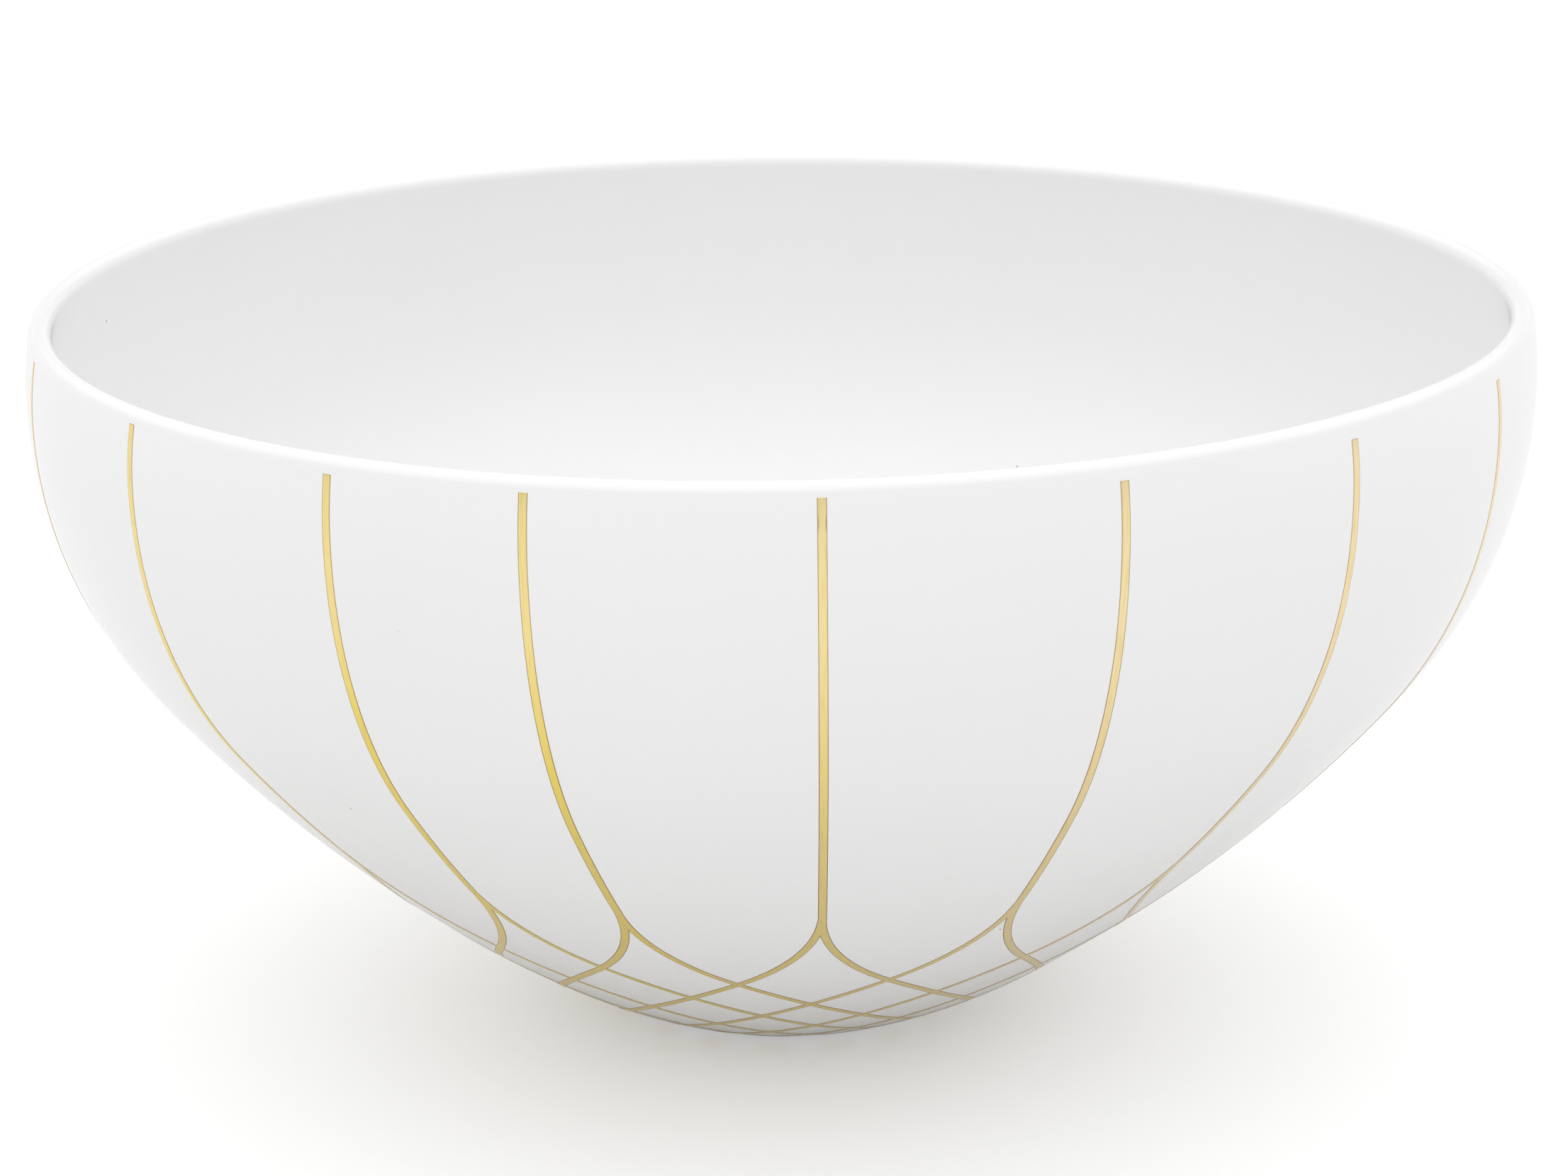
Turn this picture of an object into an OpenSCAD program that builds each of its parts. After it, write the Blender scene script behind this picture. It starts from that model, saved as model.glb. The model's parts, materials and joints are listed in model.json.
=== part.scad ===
// Footed porcelain serving bowl with gilt lines.
// A one-piece porcelain body, glazed everywhere but on its ground foot, with fired gold on top of
// the glaze: lines run down the wall, fork near the bottom and cross under the bowl as a lattice.
// The bowl stands on z = 0 with its axis on Z, and its front line is on the -Y side.

/* [Bowl] */
// Widest outside diameter, a little below the lip
bowl_d = 240; // [200:5:280]
// Height from the table to the top of the lip
bowl_h = 118.5; // [110:0.5:126]
// How far the widest point lies below the top of the lip
belly_drop = 11; // [9:0.5:14]
// Radius of the wall's inward turn between the widest point and the lip
mouth_r = 50; // [40:1:90]
// Thickness of the lip and the upper wall
wall_t = 3.6; // [3:0.1:4.5]
// Height of the inside floor above the table
floor_h = 8; // [7:0.5:11]
// Thickness of the glaze coat
glaze_t = 0.3; // [0.2:0.05:0.4]

/* [Foot] */
// Outside diameter of the foot ring
foot_d = 48; // [44:1:60]
// Width of the ground, unglazed face of the foot ring
foot_w = 4.5; // [3:0.5:6]
// Depth of the hollow inside the foot ring
foot_hollow = 2; // [1:0.25:3]
// Rounding of the foot ring's edges
foot_round = 0.6; // [0.3:0.1:1]

/* [Gold] */
// Number of gold lines around the bowl
line_count = 18; // [18:1:18]
// Width of a gold line
line_w = 1.35; // [1:0.05:2]
// Thickness that the gold is drawn at
gold_t = 0.1; // [0.08:0.01:0.15]
// Gap between the top of the lip and the top of a gold line
line_top_gap = 2.5; // [2:0.1:6]
// Angle of the front line, counter-clockwise seen from above
front_angle = 2.5; // [-5:0.1:5]
// How much narrower the last gap is, where the ends of the decal meet
seam_tuck = 5; // [0:0.5:6]

/* [Lattice] */
// Distance from the axis at which each line starts to fork
fork_r = 87.5; // [80:0.5:92]
// Distance from the axis at which the lattice ends, close to the foot
lattice_end_r = 27; // [26:1:34]
// How steeply a strand sweeps round, as turn per unit of natural log of radius
sweep = 1.22; // [0.8:0.02:1.3]
// Share of the strand's path that the fork takes to reach its full sweep
fork_ease = 0.27; // [0.15:0.01:0.4]

/* [Hidden] */
// Slopes of the outside wall from level: at the ends of the belly, the flank and the base arcs
belly_slope = 50.2;
flank_slope = 33.5;
base_slope = 20.2;
// The base arc's radius goes with the bowl's size
base_r = bowl_d * 0.4875;
// Height at which the outside wall runs into the foot ring
foot_step = 0.22;
// Slope of the inside wall where the flank runs into the floor arc
floor_slope = 30;

axis_h = bowl_h - belly_drop;
// Gap between the glaze and the gold's back, which keeps the two solids apart
out_d = 0.02;
// The right-handed strands are thinner by this on both faces, so that the crossings stay clean
lap = 0.025;
// Small angle that keeps two arcs' shared end from being listed twice
eps = 0.01;
// How far a chord may stray from its arc
chord_gap = 0.01;
// Sides of a full turn
turn_sides = 180;
// Number of stretches that a strand of the lattice is drawn in
rungs = 18;
// Step inwards over which a strand's direction is taken
look_ahead = 0.1;

// The lines were laid by hand. Each list goes round from the front line.
// How far each line's top is from its even place, in degrees
line_slip = [0, 0.2, -0.5, -0.4, 0, 0.5, 0, -0.5, 0, 0.5, 0.5, 0, -0.5, 0, 0.5, 1.5, 1.2, 0.6];
// How much further round each line is at its fork than at its top, in degrees
line_lean = [0.8, 0.2, 0.4, 0, 0.2, -0.2, 0.3, 0, -0.3, 0, 0.2, 0.3, -0.2, 0, 0, -0.5, -0.6, 0.6];
// How much lower each line starts than the gap above says
top_slip = [-0.5, 0.3, 0.6, 0.5, 0.3, 0.4, 0.2, 0.3, 0, 0.1, -0.1, 0, -0.3, -0.4, -0.6, -0.7, -0.2, -0.5];
line_pitch = (360 + seam_tuck) / line_count;
line_angles = [for (i = [0:line_count - 1])
    front_angle + i * line_pitch + line_slip[i] - (i == line_count - 1 ? seam_tuck : 0)];
line_names = [for (i = [1:line_count]) str("gold_line_", i < 10 ? "0" : "", i)];

// ---- Section of the bowl: tangent arcs, as [r, z] points ----

// Solves a*x + b*y = e and c*x + d*y = f
function solve2(a, b, c, d, e, f) = [e * d - b * f, a * f - e * c] / (a * d - b * c);

// Radii of the belly and flank arcs that bring the wall from the widest point to the foot
outer_radii = solve2(
    1 - sin(belly_slope), sin(belly_slope) - sin(flank_slope),
    cos(belly_slope), cos(flank_slope) - cos(belly_slope),
    (bowl_d - foot_d) / 2 - base_r * (sin(flank_slope) - sin(base_slope)),
    axis_h - foot_step - base_r * (cos(base_slope) - cos(flank_slope)));
belly_r = outer_radii[0];
flank_r = outer_radii[1];

// Centres of the outside arcs, each on the last arc's end normal
function toward(slope) = [sin(slope), -cos(slope)];
mouth_c = [bowl_d / 2 - mouth_r, axis_h];
belly_c = [bowl_d / 2 - belly_r, axis_h];
flank_c = belly_c + (belly_r - flank_r) * toward(belly_slope);
base_c = flank_c + (flank_r - base_r) * toward(flank_slope);

// The inside wall keeps the wall's thickness down to the belly arc's end, then thickens
inner_start = belly_c + (belly_r - wall_t) * toward(belly_slope);
inner_radii = solve2(
    sin(belly_slope) - sin(floor_slope), sin(floor_slope),
    cos(floor_slope) - cos(belly_slope), 1 - cos(floor_slope),
    inner_start[0], inner_start[1] - floor_h);
well_r = inner_radii[0];
floor_r = inner_radii[1];
well_c = inner_start - well_r * toward(belly_slope);
floor_c = [0, floor_h + floor_r];

// The lip is a half round on the wall's end
lip_r = wall_t / 2;
lip_h = bowl_h - lip_r;
lip_turn = asin((lip_h - axis_h) / (mouth_r - lip_r));
lip_c = mouth_c + (mouth_r - lip_r) * [cos(lip_turn), sin(lip_turn)];

// Points on an arc whose angles are measured from +r towards +z
function arc(c, r, from, to) =
    let(steps = ceil(abs(to - from) / (2 * acos(1 - chord_gap / r))))
    [for (i = [0:steps]) let(a = from + (to - from) * i / steps) c + r * [cos(a), sin(a)]];

// Outside of the bowl at a depth under the finished surface, from the foot up to the lip
function outside(depth) = concat(
    arc(base_c, base_r - depth, base_slope - 90, flank_slope - 90),
    arc(flank_c, flank_r - depth, flank_slope - 90 + eps, belly_slope - 90),
    arc(belly_c, belly_r - depth, belly_slope - 90 + eps, 0),
    arc(mouth_c, mouth_r - depth, eps, lip_turn));

// Half round of the lip, from the outside over to the inside
function lip(depth) = arc(lip_c, lip_r - depth, lip_turn + eps, lip_turn + 180 - eps);

// Inside of the bowl at a depth under the finished surface, from the lip down to the axis
function inside(depth) = concat(
    arc(mouth_c, mouth_r - wall_t + depth, lip_turn, eps),
    arc(belly_c, belly_r - wall_t + depth, 0, belly_slope - 90 + eps),
    arc(well_c, well_r + depth, belly_slope - 90, floor_slope - 90 + eps),
    arc(floor_c, floor_r + depth, floor_slope - 90, -90));

// Foot ring from the axis out to the wall: the hollow under the floor, then the ground face
foot_in_r = foot_d / 2 - foot_w;
hollow_top = foot_hollow + glaze_t;
foot_points = concat(
    [[0, hollow_top], [foot_in_r, hollow_top]],
    arc([foot_in_r + foot_round, foot_round], foot_round, 180, 270),
    [[foot_d / 2 - glaze_t, 0]]);

// ---- Gold on the glaze ----

// Height of the outside wall at a distance from the axis, below the belly
flank_end_r = flank_c[0] + flank_r * sin(flank_slope);
function arc_at(r) = r > flank_end_r ? [flank_c, flank_r] : [base_c, base_r];
function wall_h(r) = let(a = arc_at(r)) a[0][1] - sqrt(a[1] * a[1] - pow(r - a[0][0], 2));
function wall_normal(r) =
    let(a = arc_at(r), v = [r, wall_h(r)] - a[0]) v / norm(v);

// Turn of a strand in degrees where it has come in to radius r: it eases out of the fork
function strand_turn(r) =
    let(u = ln(fork_r / r))
    180 / PI * sweep * (u < fork_ease ? u * u / (2 * fork_ease) : u - fork_ease / 2);

function spin(p, a) = [p[0] * sin(a), -p[0] * cos(a), p[1]];
function unit(v) = v / norm(v);

// One rung of a strand: the four corners of its cross-section at radius r
function rung(r, angle, hand) =
    let(a = angle + hand * strand_turn(r),
        p = spin([r, wall_h(r)], a),
        near = r - look_ahead,
        q = spin([near, wall_h(near)], angle + hand * strand_turn(near)),
        up = spin(wall_normal(r), a),
        side = unit(cross(up, q - p)) * line_w / 2,
        thin = hand > 0 ? lap : 0,
        low = p + up * (out_d + thin),
        high = p + up * (gold_t - thin))
    [low - side, low + side, high + side, high - side];

// A strand as one closed ribbon, its rungs evenly spread in the log of the radius
module strand(angle, hand) {
    ratio = ln(lattice_end_r / fork_r);
    points = [for (i = [0:rungs]) each rung(fork_r * exp(ratio * i / rungs), angle, hand)];
    sides = [for (i = [0:rungs - 1], j = [0:3])
        let(a = 4 * i + j, b = 4 * i + (j + 1) % 4) each [[a, b + 4, b], [a, a + 4, b + 4]]];
    last = 4 * rungs;
    ends = [[0, 1, 2], [0, 2, 3], [last, last + 2, last + 1], [last, last + 3, last + 2]];
    polyhedron(points, concat(sides, ends), convexity = 6);
}

// Skin of gold over the whole wall, from the forks up to a gap below the top of the lip
module gold_skin(top_gap) {
    top_turn = asin((bowl_h - top_gap - axis_h) / mouth_r);
    fork_slope = asin((fork_r - flank_c[0]) / flank_r);
    wall = function (out) concat(
        arc(flank_c, flank_r + out, fork_slope - 90, belly_slope - 90),
        arc(belly_c, belly_r + out, belly_slope - 90 + eps, 0),
        arc(mouth_c, mouth_r + out, eps, top_turn));
    outer = wall(gold_t);
    inner = wall(out_d);
    rotate_extrude($fn = turn_sides)
        polygon(concat(outer, [for (i = [len(inner) - 1:-1:0]) inner[i]]));
}

// ---- Sub-parts ----

// Biscuit-fired clay: the wall, the floor and the foot ring, under the glaze everywhere but the foot
module porcelain_body() {
    color("#F1ECE2")
        rotate_extrude($fn = turn_sides)
            polygon(concat(foot_points, outside(glaze_t), lip(glaze_t), inside(glaze_t)));
}

// Clear white glaze over the outside, the lip and the inside
module glaze_coat() {
    skin = concat(outside(0), lip(0), inside(0));
    back = concat(outside(glaze_t), lip(glaze_t), inside(glaze_t));
    color("#FAFAF8")
        rotate_extrude($fn = turn_sides)
            polygon(concat(skin, [for (i = [len(back) - 1:-1:0]) back[i]]));
}

// Glaze on the hollow inside the foot ring
module base_glaze() {
    color("#F6F6F4")
        translate([0, 0, foot_hollow])
            cylinder(h = glaze_t, r = foot_in_r, $fn = turn_sides);
}

// Strands from every fork, left-handed and right-handed, fired into one net where they cross
module gold_lattice() {
    color("#D9B24A")
        union() {
            for (i = [0:line_count - 1], hand = [-1, 1]) strand(line_angles[i] + line_lean[i], hand);
        }
}

// One upright line, cut from the skin of gold by a slab. A line that leans is cut by a slab that
// passes beside the axis, so that its turn grows as the wall comes in.
module gold_line(i) {
    beside = line_lean[i] * PI / 180 / (1 / fork_r - 2 / bowl_d);
    color("#E3C15C")
        rotate([0, 0, line_angles[i] - asin(2 * beside / bowl_d)])
            intersection() {
                gold_skin(line_top_gap + top_slip[i]);
                translate([beside - line_w / 2, -bowl_d, 0])
                    cube([line_w, bowl_d, bowl_h]);
            }
}

porcelain_body();
glaze_coat();
base_glaze();
gold_lattice();
for (i = [0:line_count - 1])
    gold_line(i);
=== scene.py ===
# %% [markdown]
# # A porcelain serving bowl with fired gold lines
# This lesson finishes a bowl that was designed in CAD. The CAD model gives every size and place,
# and Blender gives the looks: smooth glaze, burnished gold, a bare ground foot and soft light.
# Each cell makes one thing and prints what it made, so the file can be read from top to bottom.

# %% Load the CAD frame
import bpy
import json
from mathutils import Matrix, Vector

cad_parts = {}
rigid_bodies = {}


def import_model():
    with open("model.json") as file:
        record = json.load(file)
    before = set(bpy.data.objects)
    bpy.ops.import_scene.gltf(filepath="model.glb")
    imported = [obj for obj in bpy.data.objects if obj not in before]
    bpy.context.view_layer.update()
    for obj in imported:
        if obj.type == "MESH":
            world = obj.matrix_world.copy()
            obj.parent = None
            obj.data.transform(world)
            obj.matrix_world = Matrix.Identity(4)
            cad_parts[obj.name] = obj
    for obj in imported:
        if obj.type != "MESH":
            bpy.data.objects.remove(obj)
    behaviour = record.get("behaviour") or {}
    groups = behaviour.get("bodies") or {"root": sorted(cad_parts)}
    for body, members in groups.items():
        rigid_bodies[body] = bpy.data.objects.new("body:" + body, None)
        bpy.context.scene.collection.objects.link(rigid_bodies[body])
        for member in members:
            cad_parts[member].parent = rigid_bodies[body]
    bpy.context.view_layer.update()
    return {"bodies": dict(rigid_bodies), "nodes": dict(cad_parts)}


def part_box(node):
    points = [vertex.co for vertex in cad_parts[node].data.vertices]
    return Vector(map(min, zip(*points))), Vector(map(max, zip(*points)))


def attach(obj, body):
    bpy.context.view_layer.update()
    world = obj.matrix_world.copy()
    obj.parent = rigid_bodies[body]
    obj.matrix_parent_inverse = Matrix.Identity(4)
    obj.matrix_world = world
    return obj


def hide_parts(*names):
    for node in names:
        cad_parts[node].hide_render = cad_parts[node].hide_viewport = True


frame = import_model()

import json
import math

import bpy
from mathutils import Vector

scene = bpy.context.scene
body_name = list(frame["bodies"])[0]

# %% [markdown]
# ## The main sizes
# Blender works in metres, so a small constant turns millimetres into metres. The bowl's width and
# height come from the CAD box of its glaze, and the foot's from the disc of glaze in its hollow.
# What a box can't say, such as the thickness of the wall, is written once here with its name.

# %% Sizes of the bowl
MM = 0.001
glaze_low, glaze_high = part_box("glaze_coat")
hollow_low, hollow_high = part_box("base_glaze")
bowl_r = (glaze_high[0] - glaze_low[0]) / 2
bowl_h = glaze_high[2]
foot_in_r = (hollow_high[0] - hollow_low[0]) / 2
foot_hollow = hollow_low[2]
glaze_t = hollow_high[2] - hollow_low[2]
foot_w = 4.5 * MM
foot_r = foot_in_r + foot_w
wall_t = 3.6 * MM
floor_h = 8 * MM
print(f"bowl {bowl_r * 2 / MM:.1f} mm wide and {bowl_h / MM:.1f} mm high")
print(f"foot ring {foot_r * 2 / MM:.1f} mm wide, glaze {glaze_t / MM:.2f} mm thick")

# %% [markdown]
# ## The camera
# Tableware is usually shot from a step away with a short telephoto lens, looking a little down
# into the piece: far enough to keep the circle of the lip calm, and near enough to show the inside.
# The camera's distance is counted in radii of the lip's top, and it is tipped sideways by less than a
# degree, as a camera on a hand-set tripod often is.

# %% Place the camera
view_tilt = math.radians(12.56)
lip_top_r = 117.8 * MM
view_distance = 6 * lip_top_r
camera_pitch = math.radians(16.42)
camera_roll = math.radians(-0.68)

camera_data = bpy.data.cameras.new("tableware_camera")
camera_data.lens = 101.2
camera = bpy.data.objects.new("tableware_camera", camera_data)
scene.collection.objects.link(camera)
camera.location = (0, -view_distance * math.cos(view_tilt), bowl_h + view_distance * math.sin(view_tilt))
camera.rotation_euler = (math.pi / 2 - camera_pitch, 0, 0)
camera.rotation_euler.rotate_axis("Z", camera_roll)
scene.camera = camera
print("camera at", [round(v, 3) for v in camera.location], "lens", camera_data.lens, "mm")

# %% [markdown]
# ## The bowl's section
# A potter thinks of a bowl as a half section spun on a wheel. This section is a chain of arcs that
# share a tangent where they meet: base, flank, belly and mouth outside, a half-round lip, and well
# and floor inside. Four of the radii aren't chosen. They follow from the width and the height,
# through a pair of equations for the outside and another for the inside, as in the CAD model.

# %% Radii and centres of the arcs
belly_drop = 11 * MM
axis_h = bowl_h - belly_drop
mouth_r = 50 * MM
base_r = bowl_r * 0.975
foot_step = 0.22 * MM
belly_slope = math.radians(50.2)
flank_slope = math.radians(33.5)
base_slope = math.radians(20.2)
floor_slope = math.radians(30)
LEVEL = -math.pi / 2


def solve_pair(a, b, c, d, e, f):
    """x and y where a*x + b*y = e and c*x + d*y = f."""
    det = a * d - b * c
    return (e * d - b * f) / det, (a * f - e * c) / det


def toward(slope):
    """Direction, as (r, z), out of the wall where it has this slope from level."""
    return Vector((math.sin(slope), -math.cos(slope)))


belly_r, flank_r = solve_pair(
    1 - math.sin(belly_slope), math.sin(belly_slope) - math.sin(flank_slope),
    math.cos(belly_slope), math.cos(flank_slope) - math.cos(belly_slope),
    bowl_r - foot_r - base_r * (math.sin(flank_slope) - math.sin(base_slope)),
    axis_h - foot_step - base_r * (math.cos(base_slope) - math.cos(flank_slope)),
)
mouth_c = Vector((bowl_r - mouth_r, axis_h))
belly_c = Vector((bowl_r - belly_r, axis_h))
flank_c = belly_c + (belly_r - flank_r) * toward(belly_slope)
base_c = flank_c + (flank_r - base_r) * toward(flank_slope)

inner_start = belly_c + (belly_r - wall_t) * toward(belly_slope)
well_r, floor_r = solve_pair(
    math.sin(belly_slope) - math.sin(floor_slope), math.sin(floor_slope),
    math.cos(floor_slope) - math.cos(belly_slope), 1 - math.cos(floor_slope),
    inner_start[0], inner_start[1] - floor_h,
)
well_c = inner_start - well_r * toward(belly_slope)
floor_c = Vector((0, floor_h + floor_r))

lip_r = wall_t / 2
lip_turn = math.asin((bowl_h - lip_r - axis_h) / (mouth_r - lip_r))
lip_c = mouth_c + (mouth_r - lip_r) * Vector((math.cos(lip_turn), math.sin(lip_turn)))
print(f"belly arc {belly_r / MM:.1f} mm, flank arc {flank_r / MM:.1f} mm, well arc {well_r / MM:.1f} mm")


# %% Points along the section
def arc(centre, radius, start, end, chord=1.2 * MM):
    """Points along an arc without its last one, with angles from +r towards +z."""
    steps = max(math.ceil(abs(end - start) * radius / chord), 5)
    angles = [start + (end - start) * i / steps for i in range(steps)]
    return [centre + radius * Vector((math.cos(a), math.sin(a))) for a in angles]


def section(depth):
    """The bowl's skin at a depth below its surface, from the foot over the lip to the axis."""
    return [
        *arc(base_c, base_r - depth, base_slope + LEVEL, flank_slope + LEVEL),
        *arc(flank_c, flank_r - depth, flank_slope + LEVEL, belly_slope + LEVEL),
        *arc(belly_c, belly_r - depth, belly_slope + LEVEL, 0),
        *arc(mouth_c, mouth_r - depth, 0, lip_turn),
        *arc(lip_c, lip_r - depth, lip_turn, lip_turn + math.pi, chord=0.25 * MM),
        *arc(mouth_c, mouth_r - wall_t + depth, lip_turn, 0),
        *arc(belly_c, belly_r - wall_t + depth, 0, belly_slope + LEVEL),
        *arc(well_c, well_r + depth, belly_slope + LEVEL, floor_slope + LEVEL),
        *arc(floor_c, floor_r + depth, floor_slope + LEVEL, LEVEL),
        floor_c + Vector((0, -floor_r - depth)),
    ]


print("points in the section:", len(section(0)))

# %% [markdown]
# ## What the kiln does to a bowl
# At 1400 degrees C hard porcelain is nearly soft, and a wide lip never cools exactly flat. This lip
# sits as a very shallow saddle, a third of a millimetre up and down. Nobody measures that by eye,
# but it gives the long curve of the lip the slight life of a real piece. Every piece passes
# through this one function, so the glaze stays on the clay and the gold stays on the glaze.

# %% Kiln movement
saddle = 0.35 * MM


def fired(point, turn):
    """The place after firing of a section point (r, z), at a turn from -Y towards +X."""
    radius, height = point
    lift = saddle * math.sin(2 * turn) * (max(height, 0) / bowl_h) ** 3 * radius / bowl_r
    return Vector((radius * math.sin(turn), -radius * math.cos(turn), height + lift))


lip_ends = [fired((bowl_r, bowl_h), math.radians(a))[2] / MM for a in (45, 135)]
print("height of the lip at its highest and lowest:", [round(h, 2) for h in lip_ends])


# %% [markdown]
# ## Spinning a section
# Blender's Screw modifier spins a profile too, but here every point has to pass through the kiln
# function, so a loop writes the rings of vertices and joins each ring to the next with faces.
# A point on the axis becomes a single vertex with a fan of triangles around it, which leaves no
# faces of zero size. The section is a closed loop, so the piece is a closed solid.

# %% Mesh helpers
def add_piece(name, verts, faces, node_name):
    """Adds a smooth mesh that stands for a CAD node, and hides that node."""
    mesh = bpy.data.meshes.new(name)
    mesh.from_pydata(verts, [], faces)
    mesh.shade_smooth()
    piece = bpy.data.objects.new(name, mesh)
    scene.collection.objects.link(piece)
    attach(piece, body_name)
    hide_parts(node_name)
    return piece


def spin_section(name, points, node_name, sides=384):
    """A solid of revolution from a closed loop of (r, z) points that may touch the axis."""
    verts = []
    rings = []
    for point in points:
        on_axis = point[0] < 1e-6
        count = 1 if on_axis else sides
        rings.append([len(verts) + (0 if on_axis else k) for k in range(sides)])
        verts += [fired(point, 2 * math.pi * k / sides) for k in range(count)]
    faces = []
    for ring, after in zip(rings, rings[1:] + rings[:1]):
        for k in range(sides):
            corners = [ring[k], ring[k - sides + 1], after[k - sides + 1], after[k]]
            face = [v for i, v in enumerate(corners) if v != corners[i - 1]]
            if len(face) > 2:
                faces.append(face)
    print(f"{name}: {len(points)} points in the section, {len(faces)} faces")
    return add_piece(name, verts, faces, node_name)


print("every piece rides the body", body_name)

# %% [markdown]
# ## The clay body
# Hard porcelain is a body of kaolin, feldspar and quartz, and a bowl this wide is jiggered: a
# rotating plaster mould shapes the outside, and a profiled blade the inside. Glaze hides it almost
# everywhere. It shows only on the foot ring, which is ground bare so that the bowl doesn't stick
# to the kiln shelf, with its edges rounded so that it doesn't scratch a table.

# %% Make the clay body
foot_round = 0.6 * MM
ring_edge = 0.25 * MM
fine_chord = 0.1 * MM
hollow_top = foot_hollow + glaze_t
clay_skin = section(glaze_t)
clay_loop = [
    Vector((0, hollow_top)),
    Vector((foot_in_r, hollow_top)),
    *arc(Vector((foot_in_r + foot_round, foot_round)), foot_round, -math.pi, LEVEL, fine_chord),
    *arc(Vector((foot_r - glaze_t - ring_edge, ring_edge)), ring_edge, LEVEL, 0, fine_chord),
    Vector((foot_r - glaze_t, ring_edge)),
    *clay_skin,
]
clay_body = spin_section("clay_body", clay_loop, "porcelain_body")

# %% [markdown]
# ## The glaze
# The bowl is dipped, and the glaze melts to a skin of glass three tenths of a millimetre thick. It
# runs from the foot up over the lip and down to the middle of the inside, and it ends in a small round
# bead where the foot was wiped clean. The piece is a closed shell: the surface, and the way back
# along the clay under it.

# %% Make the glaze
bead_c = base_c + (base_r - glaze_t / 2) * toward(base_slope)
bead_end = base_slope + LEVEL
bead = arc(bead_c, glaze_t / 2, bead_end - math.pi, bead_end, 0.06 * MM)
glaze_loop = [*bead[1:], *section(0), *reversed(section(glaze_t))]
glaze_skin = spin_section("glaze_skin", glaze_loop, "glaze_coat")

# %% [markdown]
# ## The glaze in the foot's hollow
# Glaze that stays inside the foot ring is cut off from the rest by the bare ring. Surface tension
# pulls it up the ring's inner wall in a small hollow curve, a meniscus, so this disc isn't flat
# to its edge.

# %% Make the hollow's glaze
meniscus = 0.8 * MM
meniscus_c = Vector((foot_in_r - meniscus, foot_hollow - meniscus))
hollow_loop = [
    Vector((0, foot_hollow)),
    *arc(meniscus_c, meniscus, math.pi / 2, 0, 0.12 * MM),
    Vector((foot_in_r, foot_hollow - meniscus)),
    Vector((foot_in_r, hollow_top)),
    Vector((0, hollow_top)),
]
hollow_glaze = spin_section("hollow_glaze", hollow_loop, "base_glaze")

# %% [markdown]
# ## Where the gold runs
# The gold is a decal: liquid bright gold printed on a film, slid onto the glazed bowl and fired
# again at about 800 degrees C. Its drawing is simple on the wall's own map, which has two measures:
# the run, a length up the wall from the foot, and the turn around the axis. A line almost keeps its turn.
# A strand of the lattice turns evenly with the logarithm of its radius, so that it crosses every
# other strand at the same angle however narrow the bowl gets.

# %% The wall's map
wall_arcs = [
    (base_c, base_r, base_slope + LEVEL, flank_slope + LEVEL),
    (flank_c, flank_r, flank_slope + LEVEL, belly_slope + LEVEL),
    (belly_c, belly_r, belly_slope + LEVEL, 0),
    (mouth_c, mouth_r, 0, lip_turn),
]
arc_runs = [radius * (end - start) for centre, radius, start, end in wall_arcs]


def on_wall(run, turn, lift):
    """The fired place of a point at this run and turn, lifted off the wall along its normal."""
    for (centre, radius, start, end), length in zip(wall_arcs, arc_runs):
        if run <= length or end == lip_turn:
            break
        run -= length
    angle = start + run / radius
    return fired(centre + (radius + lift) * Vector((math.cos(angle), math.sin(angle))), turn)


def run_to_radius(radius):
    """The run at which the lower wall has this radius."""
    run = 0
    for (centre, arc_r, start, end), length in zip(wall_arcs[:2], arc_runs[:2]):
        run_here = arc_r * (-math.acos((radius - centre[0]) / arc_r) - start)
        if run_here <= length:
            break
        run += length
    return run + run_here


def run_to_height(height):
    """The run at which the wall above the belly has this height."""
    return sum(arc_runs[:3]) + mouth_r * math.asin((height - axis_h) / mouth_r)


print("run from foot to lip:", round(sum(arc_runs) / MM, 1), "mm")

# %% [markdown]
# ## A ribbon of gold
# A fired film is hardly a hundredth of a millimetre thick, and its edge is a little thinner than
# its middle. Each ribbon here is a closed strip a few hundredths thick that starts just inside the
# glaze. Its edge slopes down over a fifth of a millimetre. That slope does a useful job at the
# crossings: the full middle of one strand covers the low edge of the other, so the two run into
# one net as they do in the kiln, and no outline is left across it. For the same reason two pieces
# that join end to end run on under each other, and their hidden ends sink by their thickness.
# On the front line the decal was patched by hand a few millimetres below its top, which left its
# edges darker there.

# %% Make one ribbon
line_w = 1.35 * MM
film_t = 0.05 * MM
film_edge = 0.012 * MM
film_under = -0.06 * MM
edge_slope = 0.2 * MM
crown = 0.004 * MM
join_len = 2.2 * MM
join_sink = 0.04 * MM
end_rim = 0.07 * MM
patched_line = 1
patch_top, patch_end = 2.7 * MM, 4.3 * MM
patch_rim = 0.5
across_steps = [-1, -0.93, -0.86, -0.72, -0.45, -0.15, 0.15, 0.45, 0.72, 0.86, 0.93, 1]


def film_lift(rim):
    """Height of the film above the glaze at this distance from its edge."""
    share = min(rim / edge_slope, 1)
    return film_edge + (film_t - film_edge) * share * (2 - share) + crown * rim / line_w


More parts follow.
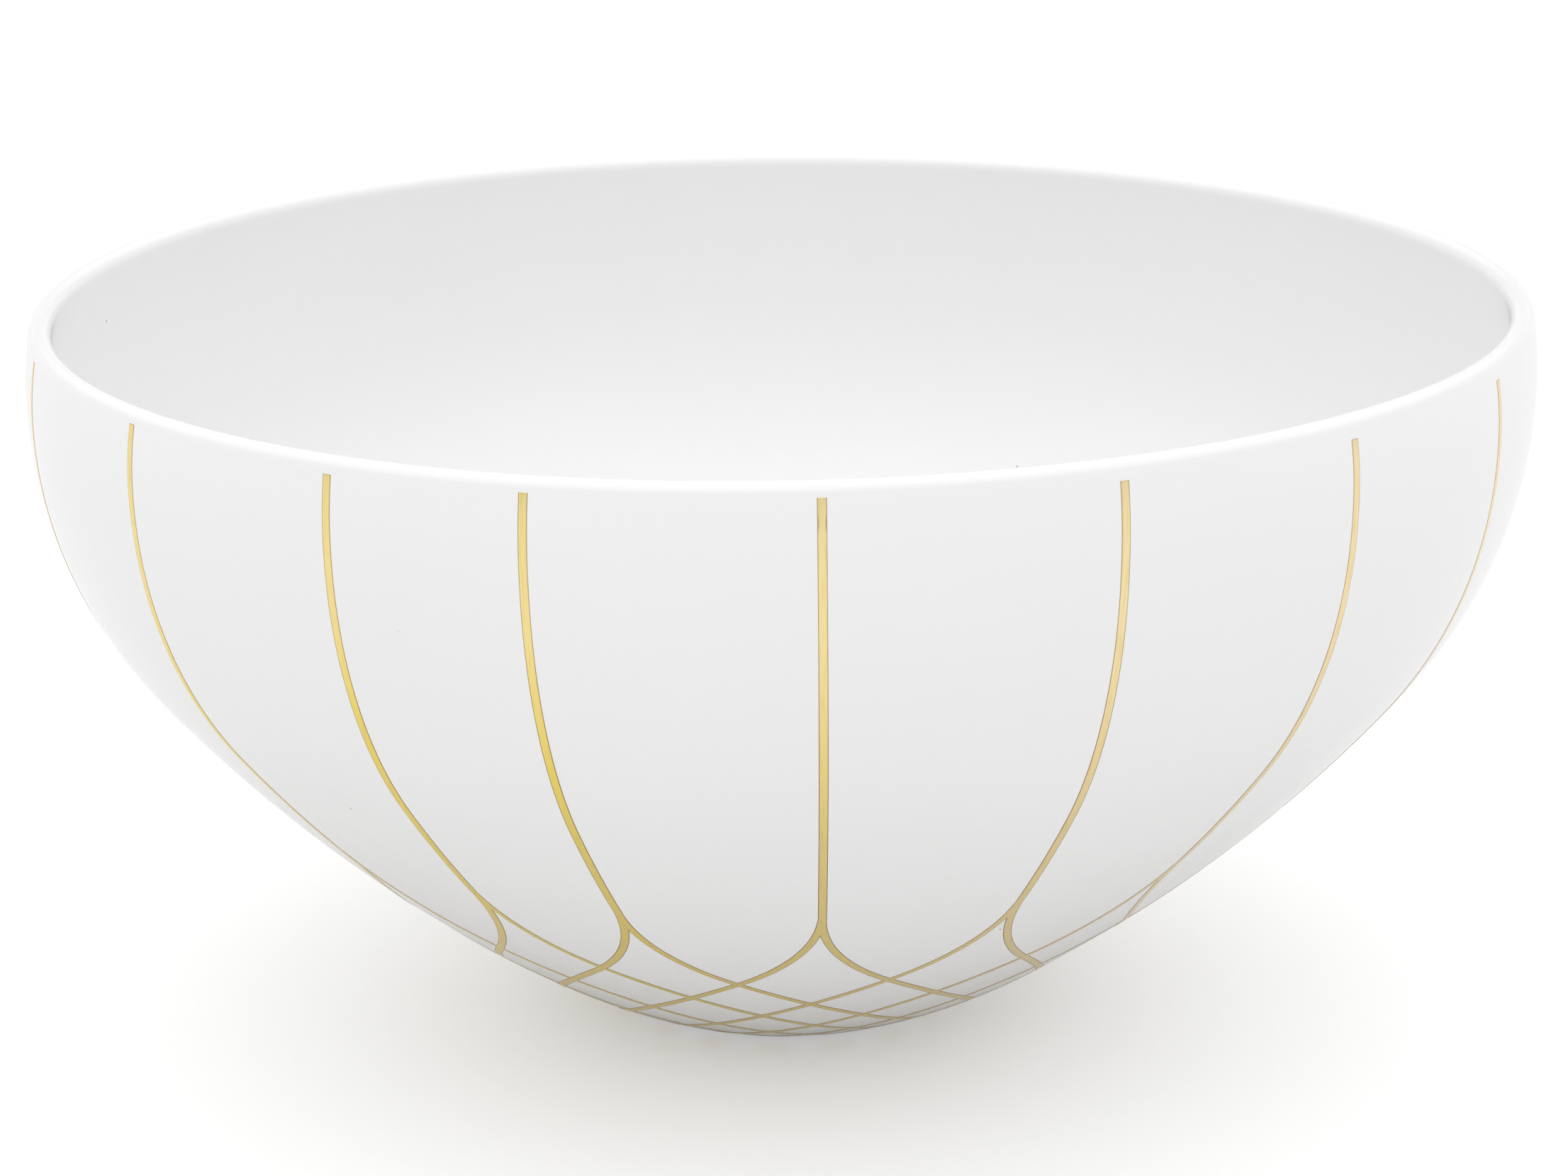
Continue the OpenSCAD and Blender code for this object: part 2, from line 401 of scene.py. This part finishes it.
def ribbon(name, number, stations, node_name):
    """A closed strip of gold. A station is (run, turn, way from the top, gap to a free end, sink)."""
    verts = []
    film_map = []
    rims = []
    for i, (run, turn, way, gap, sink) in enumerate(stations):
        before = stations[max(i - 1, 0)]
        after = stations[min(i + 1, len(stations) - 1)]
        radius = on_wall(run, turn, 0).xy.length
        heading = math.atan2(radius * (after[1] - before[1]), before[0] - after[0])
        for layer, steps in (("top", across_steps), ("under", (1, -1))):
            for step in steps:
                across = step * line_w / 2
                side_rim = line_w / 2 - abs(across)
                lift = (film_lift(min(side_rim, gap)) if layer == "top" else film_under) - sink
                side = across * math.cos(heading) / radius
                verts.append(on_wall(run + across * math.sin(heading), turn + side, lift))
                film_map.append((across / MM, way / MM, number))
                patched = number == patched_line and patch_top < way < patch_end
                rims.append(min(side_rim, gap + end_rim) * (patch_rim if patched else 1) / MM)
    m = len(across_steps) + 2
    faces = [
        (i * m + j, (i + 1) * m + j, (i + 1) * m + (j + 1) % m, i * m + (j + 1) % m)
        for i in range(len(stations) - 1) for j in range(m)
    ]
    faces += [tuple(range(m)), tuple(reversed(range(len(verts) - m, len(verts))))]
    piece = add_piece(name, verts, faces, node_name)
    piece.data.attributes.new("film_map", "FLOAT_VECTOR", "POINT").data.foreach_set(
        "vector", [value for place in film_map for value in place]
    )
    piece.data.attributes.new("rim", "FLOAT", "POINT").data.foreach_set("value", rims)
    return piece


print("a ribbon has", len(across_steps), "points across and is", line_w / MM, "mm wide")

# %% [markdown]
# ## The eighteen lines
# Each line's two ends are read from its CAD node, so the spacing, the small leans and slips of
# laying a decal by hand, and the narrower gap where its ends meet are all the CAD model's. Between
# its ends a line leans as a straight strip does on a wall that comes in: its turn grows with one
# over the radius. The stations are close together at the square-cut top, where the end of the film
# slopes like its edges, and a millimetre apart below. Each line runs on a little way past its fork.

# %% Make the lines
line_nodes = sorted(name for name in frame["nodes"] if name.startswith("gold_line_"))
top_ways = [0, 0.04, 0.09, 0.15, 0.22, 0.35, 0.6]
same_height = 0.02 * MM


def end_of_line(node_name, end):
    """Middle of a CAD line's outer edge at one end: its lowest (0) or highest (1) vertices."""
    end_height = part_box(node_name)[end][2]
    vertices = frame["nodes"][node_name].data.vertices
    corners = [v.co for v in vertices if abs(v.co.z - end_height) < same_height]
    middle = sum(corners, Vector()) / len(corners)
    return middle.xy.length, math.atan2(middle.x, -middle.y), middle.z


fork_r = end_of_line(line_nodes[0], 0)[0]
fork_run = run_to_radius(fork_r)
fork_turns = []
line_lens = []
gilt_pieces = []
for number, node_name in enumerate(line_nodes, start=1):
    top_r, top_turn, top_height = end_of_line(node_name, 1)
    fork_turn = end_of_line(node_name, 0)[1]
    fork_turn += 2 * math.pi * round((top_turn - fork_turn) / (2 * math.pi))
    line_top = run_to_height(top_height)
    line_len = line_top - fork_run
    ways = [way * MM for way in top_ways] + [n * MM for n in range(1, int(line_len / MM) + 1)]
    ways += [line_len + share * join_len for share in (0.5, 1)]
    stations = []
    for way in ways:
        radius = on_wall(line_top - way, 0, 0).xy.length
        share = (1 / radius - 1 / top_r) / (1 / fork_r - 1 / top_r)
        turn = top_turn + share * (fork_turn - top_turn)
        sink = join_sink * max(way - line_len, 0) / join_len
        stations.append((line_top - way, turn, way, way, sink))
    gilt_pieces.append(ribbon(f"gilt_line_{number:02d}", number, stations, node_name))
    fork_turns.append(fork_turn)
    line_lens.append(line_len)
print(len(line_nodes), "lines that fork", round(fork_r / MM, 1), "mm from the axis")
print("turns at the forks:", [round(math.degrees(turn), 1) for turn in fork_turns])

# %% [markdown]
# ## The lattice
# Below its fork each line goes on as two strands, one to each side. A strand leaves the fork
# straight down and eases into its full sweep, which gives the fork its slender wishbone shape.
# The strands stay separate pieces, as a decal's strokes would be, and they meet at the crossings.

# %% Make the strands
lattice_end_r = 27 * MM
sweep = 1.22
fork_ease = 0.27
strand_steps = 120


def strand_turn(inward):
    """How far a strand has turned when it is this far in, by the logarithm of the radius."""
    if inward < fork_ease:
        return sweep * inward ** 2 / (2 * fork_ease)
    return sweep * (inward - fork_ease / 2)


def strand_stations(turn, hand, line_len):
    """The stations of one strand, from its line's fork in to the foot."""
    whole = math.log(fork_r / lattice_end_r)
    inwards = [whole * i / strand_steps for i in range(strand_steps + 1)]
    places = [
        (run_to_radius(fork_r * math.exp(-inward)), turn + hand * strand_turn(inward))
        for inward in inwards
    ]
    points = [on_wall(run, angle, 0) for run, angle in places]
    steps = [0] + [(b - a).length for a, b in zip(points, points[1:])]
    travelled = [sum(steps[:i + 1]) for i in range(len(steps))]
    return [
        (run, angle, line_len + way, travelled[-1] - way, join_sink * max(1 - way / join_len, 0))
        for (run, angle), way in zip(places, travelled)
    ]


for number, (turn, line_len) in enumerate(zip(fork_turns, line_lens), start=1):
    for side, hand in (("left", -1), ("right", 1)):
        name = f"gilt_strand_{number:02d}_{side}"
        gilt_pieces.append(ribbon(name, number, strand_stations(turn, hand, line_len), "gold_lattice"))
print(len(gilt_pieces), "pieces of gold in all")


# %% [markdown]
# ## Tools for materials
# Colours are written as the hex codes of a colour picker, which are in sRGB. Shaders work in
# linear light, so one function converts them. Another adds a node, with its own settings and with
# a value or a link for each socket, which keeps the materials below short.

# %% Material helpers
def paint(hex_code):
    """Linear RGBA of an sRGB hex code such as #F0DA98."""
    channels = [int(hex_code[i:i + 2], 16) / 255 for i in (1, 3, 5)]
    return [c / 12.92 if c < 0.04045 else ((c + 0.055) / 1.055) ** 2.4 for c in channels] + [1]


def add_node(tree, kind, sockets, **settings):
    """Adds a shader node. Each socket gets a value, or a link if it is given another socket."""
    node = tree.nodes.new("ShaderNode" + kind)
    for name, value in settings.items():
        setattr(node, name, value)
    for name, value in sockets.items():
        if isinstance(value, bpy.types.NodeSocket):
            tree.links.new(value, node.inputs[name])
        else:
            node.inputs[name].default_value = value
    return node


def new_material(name):
    """A new material with its node tree and its Principled shader."""
    material = bpy.data.materials.new(name)
    material.use_nodes = True
    return material, material.node_tree, material.node_tree.nodes["Principled BSDF"]


def repeats(size_mm):
    """A texture scale that gives features of about this size."""
    return 1 / (size_mm * MM)


print("mid grey in linear light:", round(paint("#808080")[0], 3))

# %% [markdown]
# ## Glazed porcelain
# Feldspar glaze over white clay, fired to glass: a smooth dielectric with an index near 1.5 over a
# very pale, neutral white. To the eye it is a soft white body under a clean, sharp shine.
# Three small things keep it from looking like plastic. The shine wavers over waves a centimetre or
# so long and a hundredth of a millimetre high, left by the blade and by the flow of the glaze. Its
# gloss varies a little. And here and there sits a grain of iron from the clay, a pale speck half a
# millimetre wide.

# %% Glaze material
glaze_finish, tree, shader = new_material("glazed_porcelain")
place = add_node(tree, "TexCoord", {}).outputs["Object"]
cloud = add_node(tree, "TexNoise", {"Vector": place, "Scale": repeats(45), "Detail": 2.0})
white = add_node(tree, "MixRGB", {
    "Fac": cloud.outputs["Fac"],
    "Color1": paint("#F0F0F0"),
    "Color2": paint("#EDEDED"),
})
grains = add_node(tree, "TexVoronoi", {"Vector": place, "Scale": repeats(17)})
speck = add_node(tree, "MapRange", {
    "Value": grains.outputs["Distance"],
    "From Min": 0.008,
    "From Max": 0.02,
    "To Min": 1.0,
    "To Max": 0.0,
}, interpolation_type="SMOOTHSTEP")
speckled = add_node(tree, "MixRGB", {
    "Fac": speck.outputs["Result"],
    "Color1": white.outputs["Color"],
    "Color2": paint("#B4AA9C"),
})
wave = add_node(tree, "TexNoise", {"Vector": place, "Scale": repeats(14), "Detail": 1.0})
fine = add_node(tree, "TexNoise", {"Vector": place, "Scale": repeats(2.2), "Detail": 1.0})
wave_bump = add_node(tree, "Bump", {"Height": wave.outputs["Fac"], "Distance": 0.012 * MM})
skin_bump = add_node(tree, "Bump", {
    "Height": fine.outputs["Fac"],
    "Distance": 0.0008 * MM,
    "Normal": wave_bump.outputs["Normal"],
})
gloss = add_node(tree, "MapRange", {"Value": cloud.outputs["Fac"], "To Min": 0.05, "To Max": 0.09})
tree.links.new(speckled.outputs["Color"], shader.inputs["Base Color"])
tree.links.new(gloss.outputs["Result"], shader.inputs["Roughness"])
tree.links.new(skin_bump.outputs["Normal"], shader.inputs["Normal"])
shader.inputs["IOR"].default_value = 1.5
for piece in (glaze_skin, hollow_glaze):
    piece.data.materials.append(glaze_finish)
print("glaze on", glaze_skin.name, "and", hollow_glaze.name)

# %% [markdown]
# ## Ground biscuit porcelain
# Fired clay without glaze, ground on a wet belt: a matt, slightly warm white with a very fine
# grain. Table dust sits in the grain, so it is a shade darker in the pores. The grain is drawn at
# a third of a millimetre, which is coarser than the real one, so that it shows.

# %% Biscuit material
biscuit_finish, tree, shader = new_material("ground_biscuit_porcelain")
place = add_node(tree, "TexCoord", {}).outputs["Object"]
grain = add_node(tree, "TexNoise", {"Vector": place, "Scale": repeats(0.35), "Detail": 4.0})
body_colour = add_node(tree, "MixRGB", {
    "Fac": grain.outputs["Fac"],
    "Color1": paint("#D8D2C6"),
    "Color2": paint("#F1ECE2"),
})
grain_bump = add_node(tree, "Bump", {"Height": grain.outputs["Fac"], "Distance": 0.03 * MM})
tree.links.new(body_colour.outputs["Color"], shader.inputs["Base Color"])
tree.links.new(grain_bump.outputs["Normal"], shader.inputs["Normal"])
shader.inputs["Roughness"].default_value = 0.8
clay_body.data.materials.append(biscuit_finish)
print("biscuit on", clay_body.name)

# %% [markdown]
# ## Bright fired gold
# Liquid bright gold is gold resinate that burns to a mirror-thin film. To the eye it is a pale
# yellow metal with a silky shine: fine streaks run along each line, where the print was drawn out,
# some of them rosy and some greenish. A noise stretched along the film's own map draws them.

# %% Streaks in the gold
gold_finish, tree, shader = new_material("bright_fired_gold")
film = add_node(tree, "Attribute", {}, attribute_name="film_map").outputs["Vector"]
rim = add_node(tree, "Attribute", {}, attribute_name="rim").outputs["Fac"]
streak_w = 0.22
streak_len = 9.0
streak_place = add_node(tree, "VectorMath", {
    0: film,
    1: (1 / streak_w, 1 / streak_len, 7.3),
}, operation="MULTIPLY").outputs["Vector"]
streaks = add_node(tree, "TexNoise", {"Vector": streak_place, "Scale": 1.0, "Detail": 2.0})
tint_place = add_node(tree, "VectorMath", {0: streak_place, 1: (0.6, 1.7, 4.1)}, operation="MULTIPLY")
tints = add_node(tree, "TexNoise", {"Vector": tint_place.outputs["Vector"], "Scale": 1.0, "Detail": 1.0})
print("streaks", streak_w, "mm wide and", streak_len, "mm long")

# %% [markdown]
# ## The gold's colour
# The colour is partly the gold's own and partly painted reflection: the gold is painted paler and pinker
# on the +X side, standing in for a paler reflection there, and paler again up near the lip, a painted
# reflection of the bright cove. The streaks then mix some rose and some green into it.

# %% Colour of the gold
# How far the gold is painted paler up near the lip, a painted reflection of the bright cove.
lip_reflection_share = 0.6
side = add_node(tree, "SeparateXYZ", {"Vector": add_node(tree, "TexCoord", {}).outputs["Object"]})
# Painted reflection: the gold is painted paler and pinker towards +X, standing in for a paler reflection
# on that side.
painted_side_reflection = add_node(tree, "MapRange", {
    "Value": side.outputs["X"],
    "From Min": -55 * MM,
    "From Max": 75 * MM,
}, interpolation_type="SMOOTHSTEP")
side_reflection_colour = add_node(tree, "MixRGB", {
    "Fac": painted_side_reflection.outputs["Result"],
    "Color1": paint("#F0D85E"),
    "Color2": paint("#EFDCAE"),
})
# Painted reflection: a mask that rises up the wall towards the lip, where the gold mirrors the bright
# cove.
painted_lip_reflection = add_node(tree, "MapRange", {
    "Value": side.outputs["Z"],
    "From Min": 72 * MM,
    "From Max": 100 * MM,
    "To Max": lip_reflection_share,
}, interpolation_type="SMOOTHSTEP")
# The gold painted paler near the lip, a painted reflection.
lip_reflection_colour = add_node(tree, "MixRGB", {
    "Fac": painted_lip_reflection.outputs["Result"],
    "Color1": side_reflection_colour.outputs["Color"],
    "Color2": paint("#F4E2B0"),
})
rosy = add_node(tree, "MapRange", {
    "Value": streaks.outputs["Fac"],
    "From Min": 0.45,
    "From Max": 0.75,
    "To Max": 0.55,
})
rosy_colour = add_node(tree, "MixRGB", {
    "Fac": rosy.outputs["Result"],
    "Color1": lip_reflection_colour.outputs["Color"],
    "Color2": paint("#F0CFA0"),
})
green = add_node(tree, "MapRange", {
    "Value": tints.outputs["Fac"],
    "From Min": 0.5,
    "From Max": 0.75,
    "To Max": 0.5,
})
film_colour = add_node(tree, "MixRGB", {
    "Fac": green.outputs["Result"],
    "Color1": rosy_colour.outputs["Color"],
    "Color2": paint("#DDCB7C"),
})
print("gold mixed from", side_reflection_colour.name, "and", film_colour.name)

# %% [markdown]
# ## The gold's outline and shine
# The film thins out at its edge to a brown-mauve outline about a tenth of a millimetre wide. Near the lip
# the outline is weaker, faded by the same mask as the painted lip reflection. The streaks also vary its
# gloss. Gold is a metal, so its shader keeps the default index.

# %% Outline and shine of the gold
outline = add_node(tree, "MapRange", {
    "Value": rim,
    "From Min": 0.03,
    "From Max": 0.19,
    "To Min": 1.0,
    "To Max": 0.0,
}, interpolation_type="SMOOTHSTEP")
# The outline is weakened near the lip by the same mask as the painted lip reflection.
outline_depth = add_node(tree, "MapRange", {
    "Value": painted_lip_reflection.outputs["Result"],
    "From Max": lip_reflection_share,
    "To Min": 0.92,
    "To Max": 0.65,
})
brown = add_node(tree, "Math", {
    0: outline.outputs["Result"],
    1: outline_depth.outputs["Result"],
}, operation="MULTIPLY")
edged_colour = add_node(tree, "MixRGB", {
    "Fac": brown.outputs["Value"],
    "Color1": film_colour.outputs["Color"],
    "Color2": paint("#8A6656"),
})
silk = add_node(tree, "MapRange", {"Value": streaks.outputs["Fac"], "To Min": 0.16, "To Max": 0.34})
streak_bump = add_node(tree, "Bump", {"Height": streaks.outputs["Fac"], "Distance": 0.002 * MM})
tree.links.new(edged_colour.outputs["Color"], shader.inputs["Base Color"])
tree.links.new(silk.outputs["Result"], shader.inputs["Roughness"])
tree.links.new(streak_bump.outputs["Normal"], shader.inputs["Normal"])
shader.inputs["Metallic"].default_value = 1.0
for piece in gilt_pieces:
    piece.data.materials.append(gold_finish)
print("gold on", len(gilt_pieces), "pieces")

# %% [markdown]
# ## The table
# White ware is often shot on a light table: a sheet of opal acrylic that glows a little from
# below, so the ground goes clean white and a shadow stays faint. The floor is one large round
# sheet. Straight to the camera it glows a little more than to the bowl. That keeps the ground
# white without its mirror image in the glaze washing out the sides of the bowl, which is what a
# dark card beside the bowl does in a studio.

# %% Make the floor
floor_r = 4.0
table_glow = 0.1
seen_glow = 0.3
floor_mesh = bpy.data.meshes.new("light_table")
rim_points = [2 * math.pi * k / 96 for k in range(96)]
floor_mesh.from_pydata(
    [(floor_r * math.cos(a), floor_r * math.sin(a), 0) for a in rim_points], [], [range(96)]
)
light_table = bpy.data.objects.new("light_table", floor_mesh)
scene.collection.objects.link(light_table)

acrylic_finish, tree, shader = new_material("opal_acrylic")
place = add_node(tree, "TexCoord", {}).outputs["Object"]
haze = add_node(tree, "TexNoise", {"Vector": place, "Scale": repeats(600), "Detail": 1.0})
acrylic = add_node(tree, "MixRGB", {
    "Fac": haze.outputs["Fac"],
    "Color1": paint("#DCDCDC"),
    "Color2": paint("#E0E0E0"),
})
tree.links.new(acrylic.outputs["Color"], shader.inputs["Base Color"])
shader.inputs["Roughness"].default_value = 0.6
shader.inputs["Emission Color"].default_value = paint("#FFFFFF")
seen = add_node(tree, "LightPath", {}).outputs["Is Camera Ray"]
glow = add_node(tree, "MapRange", {"Value": seen, "To Min": table_glow, "To Max": seen_glow})
tree.links.new(glow.outputs["Result"], shader.inputs["Emission Strength"])
light_table.data.materials.append(acrylic_finish)
print("floor", floor_r * 2, "m wide")

# %% [markdown]
# ## Soft light
# The room is a light tent: pale cloth on all sides, brightest overhead where a large softbox hangs,
# and brighter again low down, where the acrylic sheet curves up behind as a cove. Light from
# everywhere shows a white glaze by its form. The bright top gives the lip its fine white line, and
# the bright cove is what the gold mirrors near the lip.

# %% Light the scene
tent = bpy.data.worlds.new("light_tent")
tent.use_nodes = True
tree = tent.node_tree
direction = add_node(tree, "TexCoord", {}).outputs["Generated"]
upward = add_node(tree, "SeparateXYZ", {"Vector": direction}).outputs["Z"]
cloth = add_node(tree, "MapRange", {
    "Value": upward,
    "From Min": 0.0,
    "From Max": 1.0,
    "To Min": 0.58,
    "To Max": 1.45,
}, interpolation_type="SMOOTHSTEP")
cove = add_node(tree, "MapRange", {
    "Value": upward,
    "From Min": 0.08,
    "From Max": 0.24,
    "To Min": 0.3,
    "To Max": 0.0,
}, interpolation_type="SMOOTHSTEP")
brightness = add_node(tree, "Math", {0: cloth.outputs["Result"], 1: cove.outputs["Result"]})
tree.links.new(brightness.outputs["Value"], tree.nodes["Background"].inputs["Strength"])
tree.nodes["Background"].inputs["Color"].default_value = paint("#FFFFFF")
scene.world = tent

softbox_side = 1.0
softbox_height = 1.3
softbox_glow = 0.2
softbox_data = bpy.data.lights.new("overhead_softbox", "AREA")
softbox_data.size = softbox_side
softbox_data.energy = softbox_glow * math.pi * softbox_side ** 2
softbox = bpy.data.objects.new("overhead_softbox", softbox_data)
scene.collection.objects.link(softbox)
softbox.location = (0, 0, softbox_height)
scene.view_settings.view_transform = "Standard"
print("tent and softbox lit")
